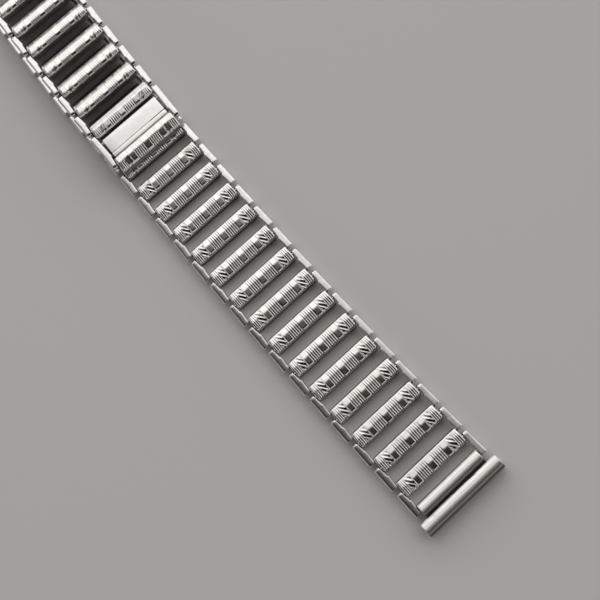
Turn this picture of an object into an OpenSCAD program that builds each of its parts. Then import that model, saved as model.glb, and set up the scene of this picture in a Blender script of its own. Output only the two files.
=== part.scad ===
// Ladder watch bracelet, closed and lying flat: rungs rolled round the crossbars
// of open side links, a lift-up clasp, and a double-barrel end piece at each end.
// X runs along the strap, Y along the rungs, +Z is the engraved outer face.
// The long strand lies on the ground, and its tail runs under the short strand.
// A place is [x, y, turn]: a point of the strap's middle line and its direction there.

/* [Strap] */
// Distance from one rung to the next
pitch = 5.8; // [5.4:0.1:6.6]
// Turn of each link to the side, in the play of its hinge, which bows the strap
bow = 0.24; // [0:0.02:0.3]
// Length of a rung
rung_len = 14.2; // [11:0.1:16]
// Width of a rung along the strap
rung_w = 3.4; // [3.2:0.1:3.6]
// Height of a rung
rung_h = 2.5; // [2.4:0.1:3]
// Radius of a rung's rounded top
crown_r = 2.1; // [1.95:0.05:4]
// Radius of a rung's two bottom edges
rung_edge = 0.4; // [0.2:0.05:0.5]
// Width of the seam where a rung's sheet meets itself
seam_w = 0.12; // [0.08:0.02:0.2]

/* [Side links] */
// Thickness of a side arm across the strap
arm_t = 1.4; // [1:0.1:2]
// Height of a side arm
arm_h = 1.4; // [1.3:0.1:1.6]
// Swell of a side arm into the gap between two rungs
arm_swell = 0.3; // [0:0.05:0.5]
// Radius of a side arm's outer corner at its pivot end
arm_corner = 0.6; // [0.2:0.1:0.9]
// Clearance between a rung's end and a side arm
end_play = 0.1; // [0.05:0.05:0.2]

/* [Hinges] */
// Diameter of a crossbar
bar_d = 0.6; // [0.4:0.05:0.65]
// Clearance all round a crossbar in its rung
bar_play = 0.05; // [0.05:0.01:0.1]
// Distance from a rung's middle to the crossbar that turns in it
pivot_off = 0.65; // [0.55:0.05:0.9]
// Distance from a rung's middle to the crossbar that it stays level with
fixed_off = 1.15; // [0.9:0.05:1.2]
// Length of a side arm beyond that crossbar
arm_tip = 0.35; // [0.35:0.05:0.6]

/* [End pieces] */
// Distance from the last rung's middle to the middle of the short tube
end_step = 4.9; // [4.8:0.1:5.6]
// Distance between the watch's lugs
lug_gap = 18; // [17.6:0.1:22]
// Side play of an end tube between the lugs
lug_play = 0.2; // [0.1:0.05:0.4]
// Diameter of an end tube
end_d = 3.1; // [2.9:0.1:3.8]
// Bore of an end tube, for the watch's spring bar
bore_d = 2; // [1.4:0.1:2.2]
// Diameter of the short tube on the last crossbar
short_d = 2.8; // [2.6:0.1:3]
// How far the two tubes run into each other
tube_lap = 0.08; // [0.04:0.02:0.16]

/* [Clasp] */
// Gap between the tail and the short strand above it
strand_gap = 0.35; // [0.3:0.05:0.45]
// Offset of the short strand's rungs from those of the tail
upper_shift = 2.2; // [1.9:0.1:2.4]
// Shift of the short strand to one side of the tail
upper_side = 0.45; // [0:0.05:0.6]
// Diameter of the clasp's hinge pin
pin_d = 0.6; // [0.4:0.05:0.65]
// Clearance round the hinge pin
pin_play = 0.04; // [0.02:0.01:0.08]
// Height of the pin below the crossbars
pin_drop = 0.25; // [0.2:0.05:0.3]
// Outer diameter of the knuckle rolled round the pin
knuckle_d = 1.4; // [1.2:0.05:1.45]
// Gap between the knuckle and the rung beside it
knuckle_gap = 0.35; // [0.3:0.05:0.5]
// Thickness of the clasp's plate
plate_t = 0.45; // [0.3:0.05:0.6]
// Gap between the plate and each side arm
plate_play = 0.2; // [0.1:0.05:0.3]
// Diameter of the lift ridge at the plate's free end
ridge_d = 1; // [0.8:0.05:1.1]
// Gap between the ridge and the clasp's end rung
end_gap = 0.2; // [0.15:0.05:0.5]
// Length of the slit beside the ridge
slit_len = 3.6; // [2:0.1:5]
// Width of the slit beside the ridge
slit_w = 0.16; // [0.1:0.02:0.24]
// Thickness of the hook's tooth
tooth_t = 0.35; // [0.3:0.05:0.45]
// Width of the hook across the strap
tooth_w = 8; // [5:0.5:9]
// Clearance between the tooth and the rung that it holds
tooth_play = 0.15; // [0.1:0.05:0.2]
// Depth of the tooth's tip below the tail's top
tooth_depth = 1.2; // [1:0.05:1.25]
// Distance from the tooth to the middle of the lift ridge
ridge_step = 1.05; // [0.95:0.05:1.3]

/* [Hidden] */
// Rungs of the long strand from its end piece to the clasp
forward = 15;
// The rung that the clasp's tooth holds, from which the others are placed
held = forward + 1;
// The last rung that turns on the tail, before its closing rung
tail = 22;
// Rungs of the short strand
upper = 7;

$fn = 48;
eps = 0.01;
bar_z = short_d / 2;
span = pitch - pivot_off - fixed_off;
end_span = end_step - pivot_off;
arm_in = rung_len / 2 + end_play;
arm_out = arm_in + arm_t;
end_len = lug_gap - lug_play;
tube_gap = sqrt(pow((short_d + end_d) / 2 - tube_lap, 2) - pow((end_d - short_d) / 2, 2));
upper_z = rung_h + strand_gap;

// The clasp's parts along the strap, from the middle of the rung that it holds
upper_x = upper_shift - pitch;
pin_x = upper_x + rung_w / 2 + knuckle_gap + knuckle_d / 2;
pin_z = bar_z - pin_drop;
leaf_z = pin_z + knuckle_d / 2 - plate_t;
tooth_x = rung_w / 2 + tooth_play;
ridge_x = tooth_x + ridge_step;
end_rung_x = ridge_x + ridge_d / 2 + end_gap + rung_w / 2;
clasp_span = end_rung_x - upper_x - pivot_off - fixed_off;

// A place moved along its own direction or to its left, and one turned where it is
function along(p, d) = [p[0] + d * cos(p[2]), p[1] + d * sin(p[2]), p[2]];
function aside(p, d) = [p[0] - d * sin(p[2]), p[1] + d * cos(p[2]), p[2]];
function veer(p, a) = [p[0], p[1], p[2] + a];

// The place len further right or left, after a turn at the crossbar in this place's rung
function step_right(p, len) = along(veer(along(p, pivot_off), bow), len - pivot_off);
function step_left(p, len) = along(veer(along(p, -pivot_off), -bow), pivot_off - len);

// The long strand's tail turns at the crossbar in the next rung instead
function step_tail(p) = along(veer(along(p, pivot_off - pitch), -bow), -pivot_off);

// Places of the rungs, with the strap's two ends turned as far to one side as the other
root = [0, 0, -bow * (held - upper) / 2];
function rung_at(j) =
    j == held ? root : j < held ? step_right(rung_at(j + 1), pitch) : step_tail(rung_at(j - 1));
upper_root = aside(root, upper_side);
function upper_at(k) = k == 1 ? along(upper_root, upper_x) : step_left(upper_at(k - 1), pitch);
lower_end = step_right(rung_at(1), end_step);
upper_end = step_left(upper_at(upper), end_step);

// The strap's outermost points, and the middle of its box
tubes = [along(lower_end, tube_gap), along(upper_end, -tube_gap)];
function tube_x(p) = end_d / 2 * cos(p[2]) + end_len / 2 * abs(sin(p[2]));
function tube_y(p) = end_len / 2 * cos(p[2]) + end_d / 2 * abs(sin(p[2]));
arm_corners = [
    for (j = [1:tail])
        for (x = [arm_tip - fixed_off, pivot_off - pitch + arm_corner - arm_h / 2])
            aside(along(rung_at(j), x), -arm_out)
];
low_y = min(concat([for (p = arm_corners) p[1]], [for (p = tubes) p[1] - tube_y(p)]));
high_y = max([for (p = tubes) p[1] + tube_y(p)]);
right_x = tubes[0][0] + tube_x(tubes[0]);
left_x = tubes[1][0] - tube_x(tubes[1]);
middle = [(left_x + right_x) / 2, (low_y + high_y) / 2];

rung_steel = [0.80, 0.80, 0.79];
link_steel = [0.70, 0.71, 0.72];
tube_steel = [0.76, 0.76, 0.75];
plate_steel = [0.84, 0.84, 0.83];

// Draws a part at a place of the strap
module at(p, z = 0) {
    translate([p[0] - middle[0], p[1] - middle[1], z]) rotate([0, 0, p[2]]) children();
}

// A half turn about the vertical, for the strand that runs the other way
module turned() {
    rotate([0, 0, 180]) children();
}

// A bar or tube along Y, centred on the strap
module across(d, len) {
    rotate([90, 0, 0]) cylinder(h = len, d = d, center = true);
}

// Draws a side view, x along and y up, as a solid of the given width
module side_on(width) {
    rotate([90, 0, 0])
        linear_extrude(height = width, center = true) children();
}

module rung_section() {
    difference() {
        intersection() {
            translate([0, rung_h - crown_r]) circle(r = crown_r);
            union() {
                translate([-rung_w / 2, rung_edge]) square([rung_w, rung_h]);
                translate([rung_edge - rung_w / 2, 0]) square([rung_w - 2 * rung_edge, rung_h]);
                for (side = [-1, 1])
                    translate([side * (rung_w / 2 - rung_edge), rung_edge]) circle(r = rung_edge);
            }
        }
        translate([pivot_off, bar_z]) circle(d = bar_d + 2 * bar_play);
        translate([-fixed_off, bar_z]) circle(d = bar_d + 2 * bar_play);
        translate([-seam_w / 2, -eps]) square([seam_w, bar_z]);
    }
}

// A sheet rolled round two crossbars, with its middle at x = 0
module rung() {
    color(rung_steel) side_on(rung_len) rung_section();
}

// Side view of an arm: round about its pivot at x = 0, square at its other end
module arm_side(len) {
    translate([0, bar_z]) circle(d = arm_h);
    translate([0, bar_z - arm_h / 2]) square([len + arm_tip, arm_h]);
}

// Plan of the arm on the +Y side, which swells into the gap between the rungs
module arm_plan(len) {
    near = rung_w / 2 - pivot_off;
    far = len + fixed_off - rung_w / 2;
    left = -arm_h / 2;
    polygon(concat(
        [[left, arm_in], [near + 0.5, arm_in], [near + 0.8, arm_in - arm_swell]],
        [[far - 0.1, arm_in], [len + arm_tip, arm_in], [len + arm_tip, arm_out]],
        [for (a = [90:15:180])
            [left + arm_corner + arm_corner * cos(a), arm_out - arm_corner + arm_corner * sin(a)]]
    ));
}

module arm(len) {
    intersection() {
        translate([0, arm_out - arm_t / 2, 0]) side_on(2 * arm_t) arm_side(len);
        linear_extrude(height = 2 * (bar_z + arm_h)) arm_plan(len);
    }
}

// Two arms on two crossbars: a rung turns on the one at x = 0 and keeps to the other
module link_frame(len) {
    color(link_steel) {
        arm(len);
        mirror([0, 1, 0]) arm(len);
        for (x = [0, len]) translate([x, 0, bar_z]) across(bar_d, 2 * arm_in + arm_t);
    }
}

// A short tube on the last crossbar at x = 0 and the wider end tube beside it
module end_piece() {
    color(tube_steel) difference() {
        union() {
            translate([0, 0, bar_z]) across(short_d, rung_len);
            translate([tube_gap, 0, end_d / 2]) across(end_d, end_len);
        }
        translate([0, 0, bar_z]) across(bar_d + 2 * bar_play, end_len);
        translate([tube_gap, 0, end_d / 2]) across(bore_d, end_len + 1);
    }
}

module lower_rung(j) {
    at(rung_at(j)) rung();
}

// The frame that turns in rung j + 1 and carries rung j, or the end piece for j = 0
module lower_frame(j) {
    if (j == 0) at(along(lower_end, -end_span)) link_frame(end_span);
    else at(along(rung_at(j), pivot_off - pitch)) link_frame(span);
}

module tail_link(j) {
    lower_frame(j);
    lower_rung(j);
    if (j == tail) lower_rung(j + 1);
}

module upper_rung(k) {
    at(upper_at(k), upper_z) turned() rung();
}

// The frame that turns in rung k of the short strand and carries what comes next
module upper_frame(k) {
    if (k == upper) at(along(upper_end, end_span), upper_z) turned() link_frame(end_span);
    else at(along(upper_at(k + 1), pitch - pivot_off), upper_z) turned() link_frame(span);
}

module lower_end_piece() {
    at(lower_end) end_piece();
}

// The short strand's end piece hangs a little below its crossbar
module upper_end_piece() {
    at(upper_end, upper_z + 2 * bar_z) mirror([0, 0, 1]) turned() end_piece();
}

module clasp_frame() {
    color(link_steel) at(upper_root, upper_z) difference() {
        translate([end_rung_x - pivot_off, 0, 0]) turned() link_frame(clasp_span);
        translate([pin_x, 0, pin_z]) across(pin_d, 2 * arm_out + 1);
    }
}

module clasp_end_rung() {
    at(along(upper_root, end_rung_x), upper_z) turned() rung();
}

module clasp_hinge_pin() {
    color(tube_steel) at(upper_root, upper_z) translate([pin_x, 0, pin_z])
        across(pin_d, 2 * arm_out);
}

// The lift-up plate: a knuckle on the pin, a flat leaf and a round ridge
module clasp_plate() {
    width = 2 * (arm_in - arm_swell - plate_play);
    slit_x = ridge_x - ridge_d / 2 - slit_w;
    color(plate_steel) at(upper_root, upper_z) difference() {
        side_on(width) difference() {
            union() {
                translate([pin_x, pin_z]) circle(d = knuckle_d);
                translate([pin_x, leaf_z]) square([ridge_x - pin_x, plate_t]);
                translate([ridge_x, leaf_z + plate_t / 2]) circle(d = ridge_d);
            }
            translate([pin_x, pin_z]) circle(d = pin_d + 2 * pin_play);
        }
        translate([slit_x, width / 2 - slit_len, leaf_z - eps])
            cube([slit_w, slit_len + 1, plate_t + 2 * eps]);
    }
}

// The hook under the plate, whose tooth drops between two rungs of the long strand
module clasp_hook() {
    low = rung_h - tooth_depth;
    color(link_steel) at(upper_root, low) translate([tooth_x, -tooth_w / 2, 0])
        cube([tooth_t, tooth_w, upper_z + leaf_z - low]);
}

clasp_frame();
clasp_end_rung();
clasp_hinge_pin();
clasp_plate();
clasp_hook();
for (k = [1:upper]) upper_rung(k);
for (k = [1:upper]) upper_frame(k);
upper_end_piece();
for (j = [1:forward]) lower_rung(j);
for (j = [0:forward]) lower_frame(j);
lower_end_piece();
for (j = [held:tail]) tail_link(j);
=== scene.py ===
# Ladder watch bracelet on a plain floor: engraved rungs, side links, lift-up clasp and end tubes.
# The shapes are worked out in millimetres and go into the meshes in metres.
import bpy
import math
import numpy as np
from mathutils import Euler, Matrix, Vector


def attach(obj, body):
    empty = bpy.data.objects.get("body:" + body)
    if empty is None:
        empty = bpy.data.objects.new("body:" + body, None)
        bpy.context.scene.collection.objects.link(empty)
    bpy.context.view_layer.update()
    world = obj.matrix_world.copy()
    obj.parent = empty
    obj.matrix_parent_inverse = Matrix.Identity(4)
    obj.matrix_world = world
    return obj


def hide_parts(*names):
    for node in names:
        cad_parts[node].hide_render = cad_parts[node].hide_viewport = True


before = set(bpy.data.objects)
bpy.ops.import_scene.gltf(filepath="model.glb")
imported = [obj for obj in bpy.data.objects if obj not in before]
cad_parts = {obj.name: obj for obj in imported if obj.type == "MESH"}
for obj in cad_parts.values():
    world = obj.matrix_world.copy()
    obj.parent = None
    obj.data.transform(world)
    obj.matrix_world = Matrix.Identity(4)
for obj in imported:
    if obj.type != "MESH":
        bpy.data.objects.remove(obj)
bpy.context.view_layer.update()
mm = 0.001
quarterTurn = math.pi / 2

# The strap's layout, as in part.scad, but for tailDrift: it moves the tail's visible links to the
# side where the photo shows them, in full from the third of its links on.
strap = dict(
    pitch=5.8, bow=0.24, pivotOff=0.65, fixedOff=1.15, endStep=4.9, upperSide=0.45,
    forward=15, held=16, tail=22, upper=7, barZ=1.4, upperZ=2.85, upperX=-3.6, endRungX=5.3,
    middleX=24.303, middleY=1.09805, tailDrift=0.55, driftLinks=3,
)
span = strap["pitch"] - strap["pivotOff"] - strap["fixedOff"]
endSpan = strap["endStep"] - strap["pivotOff"]
claspSpan = strap["endRungX"] - strap["upperX"] - strap["pivotOff"] - strap["fixedOff"]


def along(place, distance):
    # The place moved along its own direction
    turn = math.radians(place[2])
    return (place[0] + distance * math.cos(turn), place[1] + distance * math.sin(turn), place[2])


def aside(place, distance):
    # The place moved to its left
    turn = math.radians(place[2])
    return (place[0] - distance * math.sin(turn), place[1] + distance * math.cos(turn), place[2])


def veer(place, angle):
    # The place turned to its left
    return (place[0], place[1], place[2] + angle)


def stepRight(place, length):
    # The next rung to the right turns about the crossbar in this one
    return along(veer(along(place, strap["pivotOff"]), strap["bow"]), length - strap["pivotOff"])


def stepLeft(place, length):
    # The next rung to the left turns about the crossbar in this one
    return along(veer(along(place, -strap["pivotOff"]), -strap["bow"]), strap["pivotOff"] - length)


def stepTail(place):
    # The next rung of the tail turns about the crossbar in itself
    return along(veer(along(place, strap["pivotOff"] - strap["pitch"]), -strap["bow"]), -strap["pivotOff"])


root = (0.0, 0.0, -strap["bow"] * (strap["held"] - strap["upper"]) / 2)
rungAt = {strap["held"]: root}
for j in range(strap["held"] - 1, 0, -1):
    rungAt[j] = stepRight(rungAt[j + 1], strap["pitch"])
for j in range(strap["held"] + 1, strap["tail"] + 2):
    rungAt[j] = stepTail(rungAt[j - 1])
upperRoot = aside(root, strap["upperSide"])
upperAt = {1: along(upperRoot, strap["upperX"])}
for k in range(2, strap["upper"] + 1):
    upperAt[k] = stepLeft(upperAt[k - 1], strap["pitch"])
lowerEnd = stepRight(rungAt[1], strap["endStep"])
upperEnd = stepLeft(upperAt[strap["upper"]], strap["endStep"])


# Meshes from grids of points
def gridPoints(x, y, z):
    # Each coordinate is given for every row, for every column or for both
    return np.stack(np.broadcast_arrays(x, y, z), -1)


def gridFaces(rows, cols, closed):
    # Each face joins a point, its neighbour in the row, and the two points of the next row.
    # Every row closes on itself, and a closed grid also joins its last row to its first.
    i = np.arange(rows if closed else rows - 1)[:, None]
    j = np.arange(cols)[None, :]
    here, there = i * cols, (i + 1) % rows * cols
    nextCol = (j + 1) % cols
    return np.stack([here + j, here + nextCol, there + nextCol, there + j], -1).reshape(-1, 4)


def sweptPart(points, shadePaint):
    # points is rows x cols x 3: a closed outline in each row, the rows run along the piece, both ends capped
    rows, cols = points.shape[:2]
    caps = [np.arange(cols)[::-1], (rows - 1) * cols + np.arange(cols)]
    return facingOut(points.reshape(-1, 3), gridFaces(rows, cols, False), caps, shadePaint)


def ringPart(points, shadePaint):
    # points is rows x cols x 3: closed both ways, as a ring is
    rows, cols = points.shape[:2]
    return facingOut(points.reshape(-1, 3), gridFaces(rows, cols, True), [], shadePaint)


def facingOut(points, quads, caps, shadePaint):
    # Each face's centre dotted with its area, summed up, is three times the volume, and below
    # nought if the faces look inwards. Only its sign counts, so it is left at eight times that.
    a, b, c, d = (points[quads[:, n]] for n in range(4))
    volume = np.einsum("ij,ij->", a + b + c + d, np.cross(c - a, d - b))
    for cap in caps:
        ring = points[cap]
        centre = ring.mean(0)
        area = np.cross(ring - centre, np.roll(ring, -1, 0) - centre).sum(0)
        volume += 4 * np.dot(centre, area)
    if volume < 0:
        quads = quads[:, ::-1]
        caps = [cap[::-1] for cap in caps]
    return dict(points=points, quads=quads, caps=caps, shadePaint=shadePaint)


def movedPart(part, place, z=0.0, turned=False, flipped=False):
    # Turned parts are half turned about the vertical, flipped ones are mirrored up and down first
    x, y, h = part["points"].T
    if turned:
        x, y = -x, -y
    if flipped:
        h = -h
    turn = math.radians(place[2])
    points = np.column_stack([
        x * math.cos(turn) - y * math.sin(turn) + place[0] - strap["middleX"],
        x * math.sin(turn) + y * math.cos(turn) + place[1] - strap["middleY"],
        h + z,
    ])
    quads, caps = part["quads"], part["caps"]
    if flipped:
        quads = quads[:, ::-1]
        caps = [cap[::-1] for cap in caps]
    return dict(points=points * mm, quads=quads, caps=caps, shadePaint=part["shadePaint"])


def quarterRound(distance, end, edge):
    # How far a quarter circle has come in, from 0 where the edge begins to 1 at the end
    late = np.clip((distance - end + edge) / edge, 0, 1)
    return 1 - np.sqrt(1 - late ** 2)


def makePiece(name, parts, material, body, nodes, sharpAngle):
    # Joins the parts into one mesh and says what it rides on and what it stands for
    points = np.concatenate([part["points"] for part in parts])
    shadePaint = np.concatenate([part["shadePaint"].ravel() for part in parts])
    starts = np.cumsum([0] + [len(part["points"]) for part in parts])
    corners, counts = [], []
    for part, start in zip(parts, starts):
        corners += [part["quads"].ravel() + start] + [cap + start for cap in part["caps"]]
        counts += [4] * len(part["quads"]) + [len(cap) for cap in part["caps"]]
    corners = np.concatenate(corners)
    firsts = np.cumsum([0] + counts)[:-1]
    mesh = bpy.data.meshes.new(name)
    mesh.vertices.add(len(points))
    mesh.vertices.foreach_set("co", points.astype(np.float32).ravel())
    mesh.loops.add(len(corners))
    mesh.loops.foreach_set("vertex_index", corners.astype(np.int32))
    mesh.polygons.add(len(counts))
    mesh.polygons.foreach_set("loop_start", firsts.astype(np.int32))
    mesh.polygons.foreach_set("use_smooth", np.ones(len(counts), dtype=bool))
    mesh.update(calc_edges=True)
    mesh.validate()
    # This attribute says where the material paints shade.
    mesh.attributes.new("shadePaint", "FLOAT", "POINT").data.foreach_set("value", shadePaint.astype(np.float32))
    mesh.set_sharp_from_angle(angle=math.radians(sharpAngle))
    mesh.materials.append(material)
    piece = bpy.data.objects.new(name, mesh)
    bpy.context.scene.collection.objects.link(piece)
    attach(piece, body)
    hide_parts(*nodes)


# Shader nodes, each given its inputs as values or as another node's output
def addNode(tree, kind, inputs, **settings):
    node = tree.nodes.new(kind)
    for key, value in settings.items():
        setattr(node, key, value)
    for key, value in inputs.items():
        if isinstance(value, bpy.types.NodeSocket):
            tree.links.new(value, node.inputs[key])
        else:
            node.inputs[key].default_value = value
    return node


def noise(tree, place, scale, detail):
    inputs = {"Vector": place, "Scale": scale, "Detail": detail}
    return addNode(tree, "ShaderNodeTexNoise", inputs).outputs["Fac"]


def stretched(tree, value, source, target=(0.0, 1.0)):
    # The value taken from the source span to the target span, and kept inside it
    return addNode(tree, "ShaderNodeMapRange", {
        "Value": value, "From Min": source[0], "From Max": source[1],
        "To Min": target[0], "To Max": target[1]}).outputs[0]


def combined(tree, operation, *values):
    return addNode(tree, "ShaderNodeMath", dict(enumerate(values)), operation=operation).outputs[0]


def mixed(tree, share, first, second):
    # The first colour where the share is 0, the second where it is 1
    inputs = {0: share, "A": first, "B": second}
    return addNode(tree, "ShaderNodeMix", inputs, data_type="RGBA").outputs["Result"]


def opaque(colour):
    return (*colour, 1)


# Materials. Roughness is given as its least and most, and brush is how fast the lines change along each axis.
grain = dict(
    perMetre=1000, cloudDetail=4.0, lineScale=1.0, lineDetail=3.0, speckScale=9.0, speckDetail=2.0,
    noiseSpan=(0.3, 0.7), speckSpan=(0.3, 0.65), speckKeeps=(0.75, 1.0), shadeRoughness=0.3,
    lineBump=0.00002, cloudBump=0.00006,
)
# The last colour of each steel is the colour of its painted shade.
steels = dict(
    rung=dict(
        metallic=1.0, bright=(0.94, 0.93, 0.905), dull=(0.87, 0.86, 0.835), dirt=(0.05, 0.044, 0.038),
        roughness=(0.13, 0.24), brush=(300, 5000, 300), cloudScale=0.9, lineDepth=0.25, ripple=0.25),
    link=dict(
        metallic=1.0, bright=(0.90, 0.895, 0.88), dull=(0.79, 0.785, 0.77), dirt=(0.18, 0.165, 0.15),
        roughness=(0.12, 0.20), brush=(400, 4000, 4000), cloudScale=1.2, lineDepth=0.12, ripple=0.16),
    tube=dict(
        metallic=0.85, bright=(0.96, 0.945, 0.92), dull=(0.90, 0.89, 0.86), dirt=(0.05, 0.045, 0.04),
        roughness=(0.19, 0.27), brush=(4000, 250, 4000), cloudScale=0.7, lineDepth=0.3, ripple=0.3),
    plate=dict(
        metallic=1.0, bright=(0.90, 0.895, 0.88), dull=(0.83, 0.825, 0.81), dirt=(0.25, 0.23, 0.21),
        roughness=(0.15, 0.26), brush=(400, 4500, 400), cloudScale=0.6, lineDepth=0.25, ripple=0.3),
)


def steelMaterial(name, look):
    # Metal with cloudy polish, fine lines from brushing, and painted shade in a dark colour where the mesh's
    # attribute says so
    g = grain
    mat = bpy.data.materials.new(name)
    mat.use_nodes = True
    tree = mat.node_tree
    shader = tree.nodes["Principled BSDF"]
    shader.inputs["Metallic"].default_value = look["metallic"]
    coords = addNode(tree, "ShaderNodeTexCoord", {}).outputs["Object"]
    cloudPlace, brushPlace = (
        addNode(tree, "ShaderNodeMapping", {"Vector": coords, "Scale": scale}).outputs[0]
        for scale in ((g["perMetre"],) * 3, look["brush"]))
    clouds = noise(tree, cloudPlace, look["cloudScale"], g["cloudDetail"])
    lines = noise(tree, brushPlace, g["lineScale"], g["lineDetail"])
    specks = noise(tree, cloudPlace, g["speckScale"], g["speckDetail"])
    tone = stretched(tree, clouds, g["noiseSpan"])
    colour = mixed(tree, tone, opaque(look["dull"]), opaque(look["bright"]))
    # The painted shade is the mesh's attribute, thinned in patches by the specks
    shadePaint = addNode(tree, "ShaderNodeAttribute", {}, attribute_name="shadePaint").outputs["Fac"]
    dirt = combined(tree, "MULTIPLY", shadePaint, stretched(tree, specks, g["speckSpan"], g["speckKeeps"]))
    shaded = mixed(tree, dirt, colour, opaque(look["dirt"]))
    tree.links.new(shaded, shader.inputs["Base Color"])
    polish = stretched(tree, lines, g["noiseSpan"], look["roughness"])
    rough = combined(tree, "MULTIPLY_ADD", dirt, g["shadeRoughness"], polish)
    tree.links.new(rough, shader.inputs["Roughness"])
    ground = addNode(tree, "ShaderNodeBump", {
        "Height": lines, "Strength": look["lineDepth"], "Distance": g["lineBump"]}).outputs[0]
    ripple = addNode(tree, "ShaderNodeBump", {
        "Height": clouds, "Strength": look["ripple"], "Distance": g["cloudBump"],
        "Normal": ground}).outputs[0]
    tree.links.new(ripple, shader.inputs["Normal"])
    return mat


steel = {key: steelMaterial(key + "Steel", look) for key, look in steels.items()}
print("materials ready:", len(steel))

# Rungs. A pair named From or To is where a change starts or ends and over how many millimetres it runs.
# The values that begin with upper are for the short strand's first rung and for its others, and
# the painted shade low on the sides is given for the rungs that lie as the long strand's do and for the
# turned ones.
rungLook = dict(
    # outline and sheet
    length=14.2, width=3.4, height=2.5, slope=0.245, ridgeSoft=0.14, shoulder=1.25, shoulderFall=2.0,
    bottomEdge=0.4, seam=0.12, sheet=0.24, softEdge=0.16, endRound=0.5, endDrop=0.2,
    # grid: plainRows are from, to and count, strokeRows are from, to and step, and the next two are
    # a step and how many rows lie on each side of a line; all rows are fractions of the length
    outlineStep=0.01, cornerPoints=12, crownPoints=91, crownColumnsFrom=1.45,
    sideColumns=11, crownColumns=37, innerColumns=15,
    plainRows=((0, 0.022, 9), (0.21, 0.272, 4), (0.468, 0.5, 3)), strokeRows=(0.099, 0.194, 0.0034),
    endRows=(0.003, 4), closingRows=(0.002, 3), rowsPerLine=8, rowDigits=4,
    # engraved lines, placed as fractions of the length from either end
    cutDepth=0.115, wallSlope=0.52, cutFrom=(-1.35, 1.6), cutTo=(1.8, 0.22),
    endLines=(0.032, 0.060, 0.088), closingLine=0.200, mainLines=(0.2915, 0.4475), mainCount=6,
    strengths=(0.86, 1.05), endStrength=0.8, closingStrength=0.45,
    # slanting strokes between the end lines and the closing line
    bandEdges=(0.100, 0.190), strokeStep=0.66, strokeTilt=36, strokeDepth=0.13, strokeRise=0.62,
    strokeEdge=0.08, strokeStrengths=(0.8, 1.1), strokeRamp=1.4,
    # painted shade in the cuts, on the sides and inside, and on the tail's rungs under the short strand
    cutShade=0.95, cutShadeFrom=0.3, cutShadeSteep=3, faintReach=0.07, faintStrengths=(0.5, 1), faintShade=0.42,
    dirtFrom=-0.85, shadeShift=0.75, shadeFade=0.5, strokeShade=0.4, edgeShade=0.45, edgeShadeFrom=(1.2, 0.15),
    groupReach=0.0897959, groupFade=0.00179592, flankTo=(1.6, 0.25), flankShade=(0.95, 0.5),
    innerShade=0.8, hiddenShade=0.8,
    # unevenness by hand: each wave's size and its rates along and across the rung
    uneven=0.012, unevenBase=1.2, waves=((1.0, 2.7, 1.6), (0.6, 5.9, 2.4)), phaseSpan=6.28,
    crownFrom=(1.4, 0.25),
    # the short strand's rungs and the clasp's end rung
    upperShadeFrom=(0.2, 0.8), upperLean=(8, 14), upperCutFrom=((-0.1, 1.2), (0.85, 0.6)),
    endShadeFrom=0.1, endCutFrom=(-0.25, 0.7), endSkew=0.16, skewFrom=(1.4, 0.5),
    longSeed=100, shortSeed=200, claspSeed=300, sharpAngle=22,
)


def rungOutline():
    # Outline from one edge of the seam along the bottom, up a side, over the crown and round to the other
    # edge, in even steps
    r = rungLook
    half = r["width"] / 2
    e = r["bottomEdge"]
    corner = np.radians(np.linspace(-90, 0, r["cornerPoints"]))
    rounded = np.column_stack([half - e + e * np.cos(corner), e + e * np.sin(corner)])
    right = np.concatenate([[[r["seam"] / 2, 0.0]], rounded])
    # The crown falls from its ridge by the slope times the distance, and past the shoulder by
    # shoulderFall times the square of the distance from there too
    x = np.linspace(half, -half, r["crownPoints"])
    fall = r["slope"] * (np.hypot(x, r["ridgeSoft"]) - r["ridgeSoft"])
    fallPast = r["shoulderFall"] * np.maximum(np.abs(x) - r["shoulder"], 0) ** 2
    crown = np.column_stack([x, r["height"] - fall - fallPast])
    path = np.concatenate([right, crown, right[::-1] * [-1, 1]])
    run = np.concatenate([[0], np.cumsum(np.hypot(*np.diff(path, axis=0).T))])
    fine = np.arange(0, run[-1], r["outlineStep"])
    # Averaging each point with its neighbours along the path rounds the corners
    reach = int(r["softEdge"] / r["outlineStep"])
    kernel = np.hanning(2 * reach + 3)[1:-1]
    kernel /= kernel.sum()
    soft = []
    for coordinate in path.T:
        padded = np.pad(np.interp(fine, run, coordinate), reach, mode="reflect", reflect_type="odd")
        soft.append(np.convolve(padded, kernel, "valid"))
    return np.column_stack(soft)


def rungColumns(outline):
    # Picks columns of the outline: close together over the crown, wider apart down the sides
    r = rungLook
    onCrown = outline[:, 1] > r["crownColumnsFrom"]
    end = len(outline) - 1
    first, last = np.argmax(onCrown), end - np.argmax(onCrown[::-1])
    picks = np.concatenate([
        np.linspace(0, first, r["sideColumns"])[:-1], np.linspace(first, last, r["crownColumns"]),
        np.linspace(last, end, r["sideColumns"])[1:]])
    return outline[np.round(picks).astype(int)]


def rungRows():
    # Rows along the rung as fractions of its length: close together where it is cut
    r = rungLook
    firstLine, lastLine = r["mainLines"]
    step = (lastLine - firstLine) / (r["mainCount"] - 1) / r["rowsPerLine"]
    margin = r["rowsPerLine"] / 2 * step
    half = [np.linspace(*rows) for rows in r["plainRows"]]
    half.append(np.arange(*r["strokeRows"]))
    half.append(np.arange(firstLine - margin, lastLine + margin + step / 2, step))
    for lines, (apart, count) in ((r["endLines"], r["endRows"]), ([r["closingLine"]], r["closingRows"])):
        half.append(np.add.outer(lines, apart * np.arange(-count, count + 1)).ravel())
    half = np.unique(np.round(np.concatenate(half), r["rowDigits"]))
    return np.unique(np.round(np.concatenate([half, 1 - half]), r["rowDigits"]))


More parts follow.
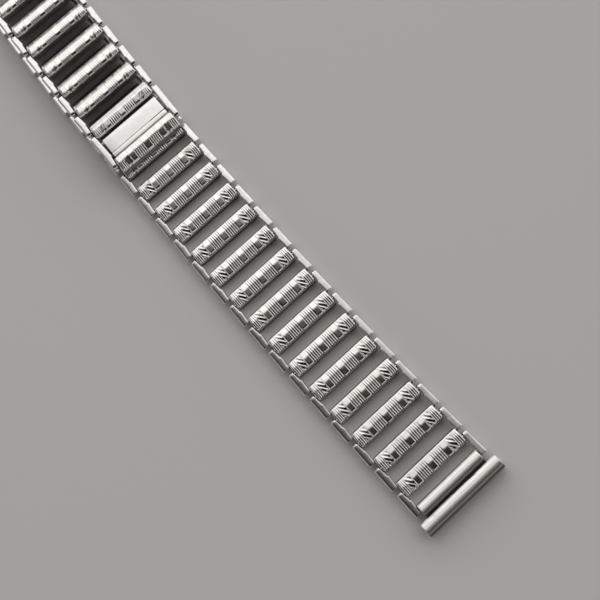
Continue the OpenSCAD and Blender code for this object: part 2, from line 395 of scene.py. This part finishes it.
def engraving(across, f, draw, dirtFrom, cutFrom):
    # Depth of the engraving, and how much painted shade it gets, at a distance across the crown (mm) and a
    # fraction along the rung.
    # Each line is a V: its depth less the wall's slope times the distance from the line, so that
    # it narrows to a point where the depth runs out at the two sides.
    r = rungLook
    rise = np.clip((across - cutFrom[0]) / cutFrom[1], 0, 1)
    ramp = rise * np.clip((r["cutTo"][0] - across) / r["cutTo"][1], 0, 1)
    full = r["cutDepth"] * ramp
    v = f * r["length"]
    depth = np.zeros(np.broadcast(across, f).shape)
    faint = np.zeros_like(depth)
    lines = [(spot, r["endStrength"]) for spot in r["endLines"]] + [(r["closingLine"], r["closingStrength"])]
    lines += [(spot, 1.0) for spot in np.linspace(*r["mainLines"], r["mainCount"])]
    for spot, weight in lines + [(1 - spot, weight) for spot, weight in lines]:
        away = np.abs(v - spot * r["length"])
        strength = draw.uniform(*r["strengths"]) * weight
        depth = np.maximum(depth, full * strength - away * r["wallSlope"])
        shallow = np.clip(1 - away / r["faintReach"], 0, 1)
        faint = np.maximum(faint, shallow * draw.uniform(*r["faintStrengths"]))
    # Painted shade: the deeper cuts on the crown's side away from the light, and a lighter shade close to
    # every line
    deep = np.clip((depth / r["cutDepth"] - r["cutShadeFrom"]) * r["cutShadeSteep"], 0, 1)
    dirt = deep * r["cutShade"] * np.clip((across - dirtFrom) / r["shadeFade"], 0, 1)
    dirt = np.maximum(dirt, faint * r["faintShade"])
    # Where the cuts start past the middle, the edge of the crown gets painted shade between a group's lines
    # too
    if cutFrom[0] > 0:
        middle = sum(r["mainLines"]) / 2
        away = np.minimum(np.abs(f - middle), np.abs(f - 1 + middle))
        grouped = np.clip((r["groupReach"] - away) / r["groupFade"], 0, 1)
        onEdge = np.clip((across - r["edgeShadeFrom"][0]) / r["edgeShadeFrom"][1], 0, 1)
        dirt = np.maximum(dirt, grouped * onEdge * r["edgeShade"])
    # Slanting strokes: square to them the depth rises over strokeRise of each step and falls over the rest.
    # The deeper half of a stroke gets painted shade.
    tilt = math.radians(r["strokeTilt"])
    bandStart, bandEnd = r["bandEdges"]
    for low, high in ((bandStart, bandEnd), (1 - bandEnd, 1 - bandStart)):
        square = -across * math.sin(tilt) - v * math.cos(tilt) + draw.uniform(0, r["strokeStep"])
        step = 1 - (square / r["strokeStep"]) % 1.0
        saw = np.where(step < r["strokeRise"], step / r["strokeRise"], (1 - step) / (1 - r["strokeRise"]))
        inside = np.clip((f - low) * r["length"] / r["strokeEdge"], 0, 1)
        inside = inside * np.clip((high - f) * r["length"] / r["strokeEdge"], 0, 1)
        stroke = draw.uniform(*r["strokeStrengths"]) * saw * inside * np.minimum(ramp * r["strokeRamp"], 1)
        depth = np.maximum(depth, r["strokeDepth"] * stroke)
        dirt = np.maximum(dirt, np.clip(2 * stroke - 1, 0, 1) * r["strokeShade"])
    return np.maximum(depth, 0), dirt


rungSection = rungColumns(rungOutline())
rungStations = rungRows()


def rungPart(seed, side=1, dirtFrom=rungLook["dirtFrom"], cutFrom=rungLook["cutFrom"], grime=0.0):
    # Sheet rolled to the outline and cut from outside; the inner wall is the outline moved in by the sheet
    r = rungLook
    draw = np.random.default_rng(seed)
    x, z = rungSection.T
    y = (0.5 - rungStations[:, None]) * r["length"]
    ahead, behind = np.roll(rungSection, -1, 0), np.roll(rungSection, 1, 0)
    ahead[-1], behind[0] = rungSection[-1], rungSection[0]
    run = ahead - behind
    inward = np.column_stack([-run[:, 1], run[:, 0]]) / np.hypot(*run.T)[:, None]
    drop = r["endDrop"] * quarterRound(np.abs(y), r["length"] / 2, r["endRound"])
    onCrown = np.clip((z - r["crownFrom"][0]) / r["crownFrom"][1], 0, 1)
    cut, dirt = engraving(side * x[None, :], rungStations[:, None], draw, dirtFrom, cutFrom)
    # Hand-worked unevenness: two sine waves along the rung times cosines across it
    phase = draw.uniform(0, r["phaseSpan"], 4)
    wave = sum(
        size * np.sin(y * rateAlong + phase[2 * n]) * np.cos(x * rateAcross + phase[2 * n + 1])
        for n, (size, rateAlong, rateAcross) in enumerate(r["waves"]))
    sink = cut * onCrown + drop + r["uneven"] * (r["unevenBase"] + wave) * onCrown
    outer = rungSection[None] + sink[:, :, None] * inward[None]
    picks = np.round(np.linspace(0, len(x) - 1, r["innerColumns"])).astype(int)
    inner = (rungSection + r["sheet"] * inward)[::-1][picks]
    section = np.concatenate([outer, np.broadcast_to(inner[None], (len(y), *inner.shape))], axis=1)
    # Painted shade low on the sides and on the inner wall, and over rungs that lie in another strand's shadow
    flank = np.clip((r["flankTo"][0] - z) / r["flankTo"][1], 0, 1) * r["flankShade"][side < 0]
    shadePaint = np.full(section.shape[:2], r["innerShade"])
    shadePaint[:, :len(x)] = np.maximum(np.maximum(dirt * onCrown, flank), grime)
    return sweptPart(gridPoints(section[:, :, 0], y, section[:, :, 1]), shadePaint)


def leanedPart(part, angle, skew):
    # Turns the part about a line along the rung through the middle of its height.
    # Before that the crown is raised by the skew times the distance across, less and less below it.
    r = rungLook
    turn, middle = math.radians(angle), r["height"] / 2
    x, y, z = part["points"].T
    z = z + skew * x * np.clip((z - r["skewFrom"][0]) / r["skewFrom"][1], 0, 1)
    leanedX = x * math.cos(turn) + (z - middle) * math.sin(turn)
    leanedZ = (z - middle) * math.cos(turn) - x * math.sin(turn) + middle
    part["points"] = np.column_stack([leanedX, y, leanedZ])
    return part


def addRung(node, place, body, seed, z=0.0, turned=False, name=None, lean=0.0, skew=0.0, **engraved):
    part = leanedPart(rungPart(seed, -1 if turned else 1, **engraved), lean, skew)
    makePiece(name or node + "_engraved", [movedPart(part, place, z, turned)], steel["rung"], body,
              [node], rungLook["sharpAngle"])


# Side links. The swell is a bump on the inner face, rising soon after bumpNear and falling to bumpFar.
linkLook = dict(
    armIn=7.2, armOut=8.6, armHalf=0.7, armTip=0.35, narrowIn=0.13, narrowOut=0.14, boxiness=4.2,
    corner=0.55, cornerInside=0.3, endRound=0.14, lean=0.13, claspLean=0.03,
    swell=0.18, bumpNear=1.05, bumpFar=0.55, riseFrom=(0.45, 0.4), fallTo=0.05, fallLess=0.9, slantTo=0.6,
    firstRow=0.06, bumpRows=(0.4, 0.9), rowCounts=(14, 5, 6, 10, 6), rowDigits=5, columns=44, leastHigh=0.001,
    innerShade=0.5, innerShadeStart=0.9, innerShadeFade=0.25,
    barRadius=0.3, barEdge=0.06, barFirstRow=0.2, barDomeRows=4, barColumns=20, barHidden=(0.02, 0.03),
    sharpAngle=40,
)


def armPart(length, side, lean):
    # Rows along the arm; each row is a rounded box whose width and height follow the arm's plan and side view
    a = linkLook
    left, right = -a["armHalf"], length + a["armTip"]
    near, far = a["bumpNear"], length - a["bumpFar"]
    rowsFrom, rowsTo = (near + step for step in a["bumpRows"])
    roundFrom = right - a["endRound"]
    counts = a["rowCounts"]
    x = np.unique(np.round(np.concatenate([
        left + a["armHalf"] * (1 - np.cos(np.linspace(a["firstRow"], quarterTurn, counts[0]))),
        np.linspace(0, rowsFrom, counts[1]),
        np.linspace(rowsFrom, rowsTo, counts[2]),
        np.linspace(rowsTo, roundFrom, counts[3]),
        roundFrom + a["endRound"] * np.sin(np.linspace(0, quarterTurn, counts[4])),
    ]), a["rowDigits"]))
    rise = np.clip((x - near - a["riseFrom"][0]) / a["riseFrom"][1], 0, 1)
    fall = np.clip((far - a["fallTo"] - x) / (far - near - a["fallLess"]), 0, 1)
    bump = a["swell"] * np.minimum(rise * rise * (3 - 2 * rise), fall)
    # From the pivot to the bump the inner face runs slantwise; the outer face slants out along the whole arm
    slantEnd = near + a["slantTo"]
    slant = np.clip((slantEnd - x) / (slantEnd - left), 0, 1)
    back = np.clip((left + a["corner"] - x) / a["corner"], 0, 1)
    cornerIn = a["corner"] * (1 - np.sqrt(1 - back ** 2))
    inner = a["armIn"] + a["narrowIn"] * slant - bump + cornerIn * a["cornerInside"]
    outer = a["armOut"] - a["narrowOut"] * (right - x) / (right - left) - cornerIn
    high = np.sqrt(np.maximum(a["armHalf"] ** 2 - np.minimum(x, 0) ** 2, a["leastHigh"] ** 2))
    inset = a["endRound"] * quarterRound(x, right, a["endRound"])
    halfWide, halfHigh = (outer - inner) / 2 - inset, high - inset
    # A rounded box: cosine and sine, each raised to the power of two over the boxiness
    angle = np.linspace(0, 2 * math.pi, a["columns"], endpoint=False)
    boxC, boxS = (np.sign(v) * np.abs(v) ** (2 / a["boxiness"]) for v in (np.cos(angle), np.sin(angle)))
    y = (outer + inner)[:, None] / 2 + halfWide[:, None] * boxC[None, :]
    z = strap["barZ"] + halfHigh[:, None] * boxS[None, :]
    # The top leans outwards: it falls by the lean for each millimetre out
    z = z - lean * (y - a["armIn"]) * np.clip(boxS, 0, 1)[None, :]
    # Painted shade on the inner face, next to the rung between the arms
    shadePaint = np.clip(a["innerShadeStart"] - (y - inner[:, None]) / a["innerShadeFade"], 0, 1) * a["innerShade"]
    return sweptPart(gridPoints(x[:, None], side * y, z), shadePaint)


def barPart(x, reach):
    # A round bar with domed ends: the radius follows a quarter circle over the edge
    a = linkLook
    edge = a["barEdge"]
    dome = edge * (1 - np.cos(np.linspace(a["barFirstRow"], quarterTurn, a["barDomeRows"])))
    y = np.concatenate([dome - reach, [0.0], reach - dome[::-1]])[:, None]
    size = a["barRadius"] - edge * quarterRound(np.abs(y), reach, edge)
    angle = np.linspace(0, 2 * math.pi, a["barColumns"], endpoint=False)
    points = gridPoints(x + size * np.cos(angle), y, strap["barZ"] + size * np.sin(angle))
    return sweptPart(points, np.zeros(points.shape[:2]))


def addFrame(node, place, length, body, z=0.0, turned=False, name=None, lean=linkLook["claspLean"]):
    # Two arms, and two crossbars that end just inside the arms' outer faces
    a = linkLook
    parts = [
        armPart(length, 1, lean), armPart(length, -1, lean),
        barPart(0.0, a["armOut"] - (a["narrowOut"] + a["barHidden"][0])),
        barPart(length, a["armOut"] - a["barHidden"][1]),
    ]
    makePiece(name or node + "_arms", [movedPart(part, place, z, turned) for part in parts],
              steel["link"], body, [node], a["sharpAngle"])


def framePlace(j):
    return along(rungAt[j], strap["pivotOff"] - strap["pitch"])


# The long strand, whose rungs get painted shade over less of the crown the nearer they are to the clasp
for j in range(1, strap["forward"] + 1):
    shadeStart = rungLook["dirtFrom"] + rungLook["shadeShift"] * (j - 1) / (strap["forward"] - 1)
    addRung(f"rung_{j}", rungAt[j], f"link_{j}", rungLook["longSeed"] + j, dirtFrom=shadeStart)
    addFrame(f"frame_{j}", framePlace(j), span, f"link_{j}", lean=linkLook["lean"])
addFrame("frame_0", along(lowerEnd, -endSpan), endSpan, "link_0", lean=linkLook["lean"])
print("long strand done")

for j in range(strap["held"], strap["tail"] + 1):
    body = "clasp" if j == strap["held"] else f"tail_{j}"
    node = f"tail_link_{j}"
    drift = -strap["tailDrift"] * min(1, (j - strap["held"] + 1) / strap["driftLinks"])
    seed = rungLook["longSeed"] + j
    # The tail's rungs get painted shade where the short strand above shades them
    addRung(node, aside(rungAt[j], drift), body, seed, name=f"tail_rung_{j}", grime=rungLook["hiddenShade"])
    addFrame(node, aside(framePlace(j), drift), span, body, name=f"tail_arms_{j}")
    if j == strap["tail"]:
        addRung(node, aside(rungAt[j + 1], drift), body, seed + 1, name="closing_rung")
print("tail done")

for k in range(1, strap["upper"] + 1):
    body = "clasp" if k == 1 else f"short_link_{k - 1}"
    addRung(f"upper_rung_{k}", upperAt[k], body, rungLook["shortSeed"] + k, strap["upperZ"], True,
            lean=rungLook["upperLean"][k > 1], dirtFrom=rungLook["upperShadeFrom"][k > 1],
            cutFrom=rungLook["upperCutFrom"][k > 1])
    if k < strap["upper"]:
        place, length = along(upperAt[k + 1], strap["pitch"] - strap["pivotOff"]), span
    else:
        place, length = along(upperEnd, endSpan), endSpan
    addFrame(f"upper_frame_{k}", place, length, f"short_link_{k}", strap["upperZ"], True)
print("short strand done")

# The clasp. The slit runs from slitEnd to the far edge, and a shallow line goes on from it.
claspLook = dict(
    pinX=-0.85, pinZ=1.15, knuckle=0.7, knuckleTurns=(20, -270), leafLow=1.4, leafThick=0.45, leafFrom=0.4,
    ridgeX=2.95, ridge=0.52, ridgeRise=0.09, ridgePower=0.35, curvePoints=30,
    halfWidth=6.7, edge=0.1, leastReach=0.2,
    slitX=(2.24, 2.40), slitEnd=3.1, slitDepth=0.38, slitLip=0.004, slitShade=1.0, line=0.04, lineShade=0.6,
    topSteps=(-2.2, -1.2, -0.3, -0.01, 0), plainRows=(-4, -2, 0, 2, 5, 6), slitRows=(0, 0.02, 0.6),
    edgeRows=5, sharpAngle=40,
)


def platePart():
    # Side view of the plate: knuckle, leaf and ridge as one outline; rows run across the strap
    p = claspLook
    low, high = p["leafLow"], p["leafLow"] + p["leafThick"]
    ridgeZ = (low + high) / 2
    slitLeft, slitRight = p["slitX"]
    top = [slitLeft + step for step in p["topSteps"]] + [slitRight - p["slitLip"], slitRight]
    # The ridge is a box with soft corners above (cosine and sine to a low power) and a half circle below
    dip = math.asin((high - ridgeZ) / p["ridge"])
    ridge = np.linspace(math.pi - dip, dip - math.pi, p["curvePoints"])
    c, s = np.cos(ridge), np.sin(ridge)
    power = np.where(s > 0, p["ridgePower"], 1.0)
    tall = np.where(s > 0, p["leafThick"] / 2 + p["ridgeRise"], p["ridge"])
    ridgeX = p["ridgeX"] + p["ridge"] * np.sign(c) * np.abs(c) ** power
    ridgePoints = np.column_stack([ridgeX, ridgeZ + tall * np.sign(s) * np.abs(s) ** power])
    knuckle = np.linspace(*np.radians(p["knuckleTurns"]), p["curvePoints"])
    knuckleX = p["pinX"] + p["knuckle"] * np.cos(knuckle)
    knucklePoints = np.column_stack([knuckleX, p["pinZ"] + p["knuckle"] * np.sin(knuckle)])
    outline = np.concatenate([
        np.column_stack([top, np.full(len(top), high)]), ridgePoints,
        [[slitLeft, low], [p["leafFrom"], low]], knucklePoints])
    edgeRows = p["edge"] * (1 - np.cos(np.linspace(0, quarterTurn, p["edgeRows"])))
    y = np.sort(np.concatenate([
        edgeRows - p["halfWidth"], p["plainRows"], np.add(p["slitEnd"], p["slitRows"]),
        p["halfWidth"] - edgeRows]))[:, None]
    # Towards its two edges the plate thins by a quarter circle about its own middle height
    inset = p["edge"] * quarterRound(np.abs(y), p["halfWidth"], p["edge"])
    centre = np.where(outline[:, 0] < 0, p["pinZ"], ridgeZ)
    offset = outline[:, 1] - centre
    z = centre + offset * np.clip(1 - inset / np.maximum(np.abs(offset), p["leastReach"]), 0, 1)
    inSlit = (outline[:, 0] >= slitLeft) & (outline[:, 0] <= slitRight - p["slitLip"])
    inSlit = inSlit & (outline[:, 1] > ridgeZ)
    cut = inSlit & (y > p["slitEnd"] + p["slitRows"][1] / 2)
    z = np.where(cut, high - p["slitDepth"], z - p["line"] * (inSlit & ~cut))
    # The slit and the line get painted shade
    return sweptPart(gridPoints(outline[:, 0], y, z), np.where(cut, p["slitShade"], inSlit * p["lineShade"]))


claspPlace = along(upperRoot, strap["endRungX"] - strap["pivotOff"])
addFrame("clasp_frame", claspPlace, claspSpan, "clasp", strap["upperZ"], True)
addRung("clasp_end_rung", along(upperRoot, strap["endRungX"]), "clasp", rungLook["claspSeed"],
        strap["upperZ"], True, skew=rungLook["endSkew"], dirtFrom=rungLook["endShadeFrom"],
        cutFrom=rungLook["endCutFrom"])
makePiece("clasp_plate_polished", [movedPart(platePart(), upperRoot, strap["upperZ"])],
          steel["plate"], "latch", ["clasp_plate"], claspLook["sharpAngle"])
for node, finish in (("clasp_hinge_pin", "tube"), ("clasp_hook", "link")):
    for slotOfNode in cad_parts[node].material_slots:
        slotOfNode.material = steel[finish]
print("clasp done")

# End pieces. Angles go round a tube in degrees, from level on the watch's side up and over.
# The lip is the edge of the rolled sheet. A dent is its angle, its place along the tube, its width and depth.
endLook = dict(
    tubeGap=2.86608, endRadius=1.55, endInner=1.0, endLength=17.8,
    shortRadius=1.4, shortInner=1.0, shortLength=14.2,
    edge=0.12, lip=0.11, lipAngle=141, lipFade=1.2, lipUntil=235, lipShade=0.35,
    lipWave=5.0, lipWaves=((1.0, 0.45), (0.5, 1.3), (0.25, 3.1)), lipPhases=6,
    shoulder=0.2, shoulderAt=52, shoulderSpans=(56, 48), darkTo=64, topFade=20, bottomFade=20, boreShade=0.7,
    coarseStep=5, fineStep=1.0, fineTurns=(140, 168), columns=90, edgeColumns=5,
    lowerSeed=1, upperSeed=2, sharpAngle=35,
    dents=((128, -6.4, 0.5, 0.05), (60, -0.6, 0.16, 0.05), (62, 3.0, 0.13, 0.04)),
)


def tubePart(x, z, radius, innerRadius, length, lip=0.0, seed=0):
    # Rows go round the tube; each row is its wall cut lengthwise, along the outside and back along the bore.
    # The outside's radius follows a quarter circle over the edge at both ends.
    p = endLook
    half, e = length / 2, p["edge"]
    fineFrom, fineTo = p["fineTurns"]
    degrees = np.concatenate([
        np.arange(0, fineFrom, p["coarseStep"]), np.arange(fineFrom, fineTo, p["fineStep"]),
        np.arange(fineTo, 360, p["coarseStep"])])[:, None]
    turns = np.radians(degrees)
    rounding = half - e + e * np.sin(np.linspace(0, quarterTurn, p["edgeColumns"]))
    plain = np.linspace(-half + e, half - e, p["columns"])[1:-1]
    y = np.concatenate([-rounding[::-1], plain, rounding, [half, -half]])
    outside = np.arange(len(y)) < len(y) - 2
    size = np.where(outside, radius - e * quarterRound(np.abs(y), half, e), innerRadius)
    # The sheet's edge wanders along the tube: three sine waves of falling size added up
    phase = np.random.default_rng(seed).uniform(0, p["lipPhases"], 3)
    wander = sum(share * np.sin(y * rate + start) for (share, rate), start in zip(p["lipWaves"], phase))
    edgeLine = p["lipAngle"] + p["lipWave"] * wander
    under = np.clip((degrees - edgeLine) / p["lipFade"], 0, 1) * (degrees < p["lipUntil"])
    # A shoulder: the radius grows by a squared cosine that fades out over the given spans
    apart = degrees - p["shoulderAt"]
    spans = np.where(apart > 0, *p["shoulderSpans"])
    swellOut = np.cos(np.clip(apart / spans, -1, 1) * quarterTurn) ** 2
    r = size - lip * under * outside + p["shoulder"] * swellOut * outside
    # Dents: each sinks the surface by its depth times a bell curve of the distance from its middle
    for turnAt, yAt, wide, deep in p["dents"] if lip > 0 else ():
        far = ((degrees - turnAt) * radius * math.pi / 180) ** 2 + (y - yAt) ** 2
        r = r - deep * np.exp(-far / wide ** 2) * outside
    # The side towards the watch gets painted shade from straight down up to darkTo, and it fades at both; the
    # bore and the strip under the lip get painted shade too
    fromBottom = (degrees + 90) % 360
    toWatch = np.clip((p["darkTo"] + 90 - fromBottom) / p["topFade"], 0, 1)
    toWatch = toWatch * np.clip(fromBottom / p["bottomFade"], 0, 1)
    shadePaint = np.where(outside, np.maximum(under * (lip > 0) * p["lipShade"], toWatch), p["boreShade"])
    return ringPart(gridPoints(x + r * np.cos(turns), y, z + r * np.sin(turns)), shadePaint)


def addEndPiece(node, place, body, seed, z=0.0, turned=False, flipped=False):
    p = endLook
    parts = [
        tubePart(0.0, strap["barZ"], p["shortRadius"], p["shortInner"], p["shortLength"]),
        tubePart(p["tubeGap"], p["endRadius"], p["endRadius"], p["endInner"], p["endLength"], p["lip"], seed)]
    makePiece(node + "_rolled", [movedPart(part, place, z, turned, flipped) for part in parts],
              steel["tube"], body, [node], p["sharpAngle"])


addEndPiece("lower_end_piece", lowerEnd, "lower_end", endLook["lowerSeed"])
addEndPiece("upper_end_piece", upperEnd, "upper_end", endLook["upperSeed"],
            strap["upperZ"] + 2 * strap["barZ"], True, True)
print("end pieces done")

# Floor, light and camera. Angles are in degrees, and lengths in metres, but for the lens and the
# sensor, which are in millimetres.
studio = dict(
    floorSize=6.0, floorDrop=0.00002, floorColour=(0.88, 0.875, 0.865), floorRoughness=0.9,
    keyLevel=0.30, keyColour=(1.0, 0.985, 0.96), keyTilt=46, keyTurn=155, keyDistance=0.32,
    keySize=(0.40, 0.20),
    skyTurn=160, skyTint=(1.0, 0.99, 0.97), skyStrength=1.0,
    skyLevels=(
        (0.0, 0.012), (0.30, 0.014), (0.37, 0.04), (0.44, 0.12), (0.50, 0.22), (0.56, 0.24), (0.60, 0.27),
        (0.63, 0.48), (0.665, 0.80), (1.0, 0.84)),
    nearFall=(-0.42, -0.14), nearLevels=(0.2, 1.0), farRise=(0.42, 0.68), farLevels=(0.0, 0.85),
    lowBand=(0.56, 0.26), lowLevels=(0.0, 0.5),
    lens=64.5, sensor=36.0, clip=(0.01, 50.0),
    cameraPlace=(0.079424, 0.005093, 0.193535), cameraTurns=(11.469, 11.214, 50.01),
)

floorMesh = bpy.data.meshes.new("floor")
s = studio["floorSize"] / 2
floorMesh.from_pydata([(-s, -s, 0), (s, -s, 0), (s, s, 0), (-s, s, 0)], [], [(0, 1, 2, 3)])
floor = bpy.data.objects.new("floor", floorMesh)
floor.location.z = -studio["floorDrop"]
bpy.context.scene.collection.objects.link(floor)
paper = bpy.data.materials.new("paper")
paper.use_nodes = True
paperShader = paper.node_tree.nodes["Principled BSDF"]
paperShader.inputs["Base Color"].default_value = opaque(studio["floorColour"])
paperShader.inputs["Roughness"].default_value = studio["floorRoughness"]
floorMesh.materials.append(paper)

# The key lamp is placed by its turn about the vertical and its tilt from it, and faces the strap.
# Its power is its level times pi times its area.
tilt, turn = math.radians(studio["keyTilt"]), math.radians(studio["keyTurn"])
away = Vector((math.sin(tilt) * math.cos(turn), math.sin(tilt) * math.sin(turn), math.cos(tilt)))
keyWidth, keyHeight = studio["keySize"]
keyData = bpy.data.lights.new("keyLight", "AREA")
keyData.shape = "RECTANGLE"
keyData.size = keyWidth
keyData.size_y = keyHeight
keyData.energy = studio["keyLevel"] * math.pi * keyWidth * keyHeight
keyData.color = studio["keyColour"]
keyLamp = bpy.data.objects.new("keyLight", keyData)
keyLamp.location = away * studio["keyDistance"]
keyLamp.rotation_euler = away.to_track_quat("Z", "Y").to_euler()
bpy.context.scene.collection.objects.link(keyLamp)

# The sky is a ramp of greys along skyTurn, dimmed towards -Y. A glow towards +Y and one low down
# are laid over it, and the brightest of the three counts.
world = bpy.data.worlds.new("studio")
bpy.context.scene.world = world
world.use_nodes = True
skyTree = world.node_tree
background = skyTree.nodes["Background"]
heading = addNode(skyTree, "ShaderNodeTexCoord", {}).outputs["Generated"]
skyTurn = math.radians(studio["skyTurn"])
skyAxis = (math.cos(skyTurn), math.sin(skyTurn), 0.0)
facing = addNode(skyTree, "ShaderNodeVectorMath", {0: heading, 1: skyAxis},
                 operation="DOT_PRODUCT").outputs["Value"]
ramp = addNode(skyTree, "ShaderNodeValToRGB", {"Fac": stretched(skyTree, facing, (-1.0, 1.0))})
levels = studio["skyLevels"]
stops = ramp.color_ramp.elements
while len(stops) < len(levels):
    stops.new(0.5)
for stop, (position, level) in zip(stops, levels):
    stop.position = position
    stop.color = (level, level, level, 1)
axes = addNode(skyTree, "ShaderNodeSeparateXYZ", {0: heading}).outputs
nearShade = stretched(skyTree, axes["Y"], studio["nearFall"], studio["nearLevels"])
farGlow = stretched(skyTree, axes["Y"], studio["farRise"], studio["farLevels"])
lowGlow = stretched(skyTree, axes["Z"], studio["lowBand"], studio["lowLevels"])
glow = combined(skyTree, "MULTIPLY", ramp.outputs["Color"], nearShade)
for other in (farGlow, lowGlow):
    glow = combined(skyTree, "MAXIMUM", glow, other)
sky = mixed(skyTree, glow, (0, 0, 0, 1), opaque(studio["skyTint"]))
skyTree.links.new(sky, background.inputs["Color"])
background.inputs["Strength"].default_value = studio["skyStrength"]

cameraData = bpy.data.cameras.new("camera")
cameraData.lens = studio["lens"]
cameraData.sensor_width = studio["sensor"]
cameraData.sensor_fit = "HORIZONTAL"
cameraData.clip_start, cameraData.clip_end = studio["clip"]
camera = bpy.data.objects.new("camera", cameraData)
camera.location = studio["cameraPlace"]
camera.rotation_euler = Euler([math.radians(angle) for angle in studio["cameraTurns"]], "XYZ")
bpy.context.scene.collection.objects.link(camera)
bpy.context.scene.camera = camera
bpy.context.scene.view_settings.view_transform = "Standard"
print("studio done")
